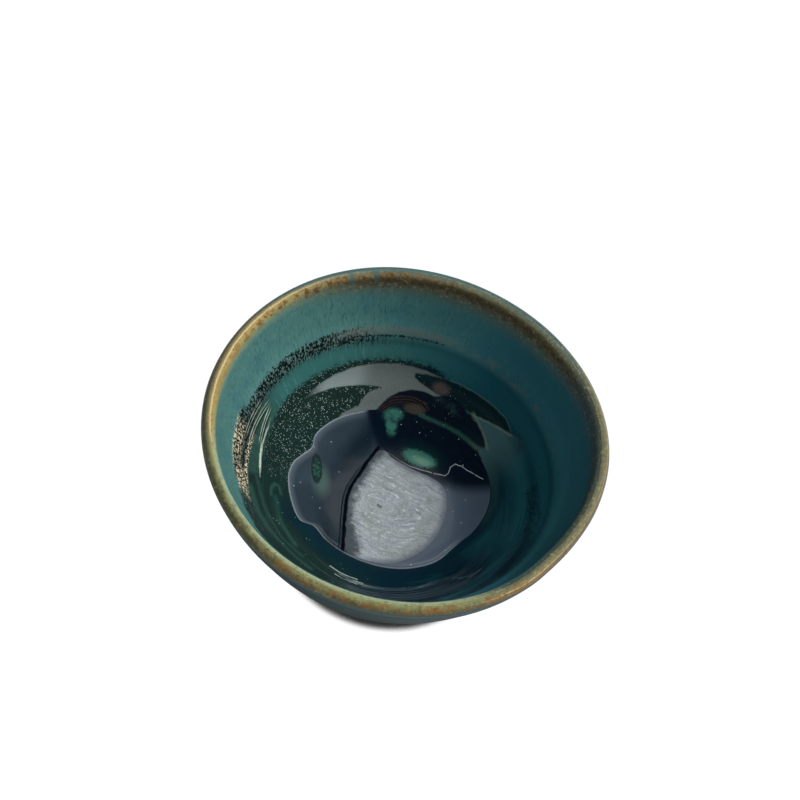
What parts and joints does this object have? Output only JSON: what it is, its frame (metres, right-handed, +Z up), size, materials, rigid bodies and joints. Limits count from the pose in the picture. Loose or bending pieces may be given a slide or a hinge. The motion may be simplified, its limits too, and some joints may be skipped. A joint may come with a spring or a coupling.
{
  "type": "tea bowl",
  "caption": "Round stoneware tea bowl with flared wall, turned foot ring, teal glaze breaking brown at the lip and dark glossy glaze pooled in the well.",
  "frame": {"origin": "centre of the foot ring's underside, on the surface that the bowl stands on", "axes": "+Z up along the axis that the bowl was thrown about, -Y towards the side that the picture was taken from"},
  "size_m": [0.11, 0.11, 0.054],
  "materials": {
    "bare_stoneware": "matte unglazed stoneware",
    "teal_glaze": "semi-gloss",
    "brown_glaze": "gloss",
    "dark_glaze": "high gloss",
    "pale_bloom": "satin"
  },
  "bodies": {
    "root": {"stoneware_body": "bare_stoneware", "outer_glaze": "teal_glaze", "lip_glaze": "brown_glaze", "inner_glaze": "teal_glaze", "well_glaze": "dark_glaze", "crystal_bloom": "pale_bloom"}
  },
  "joints": []
}
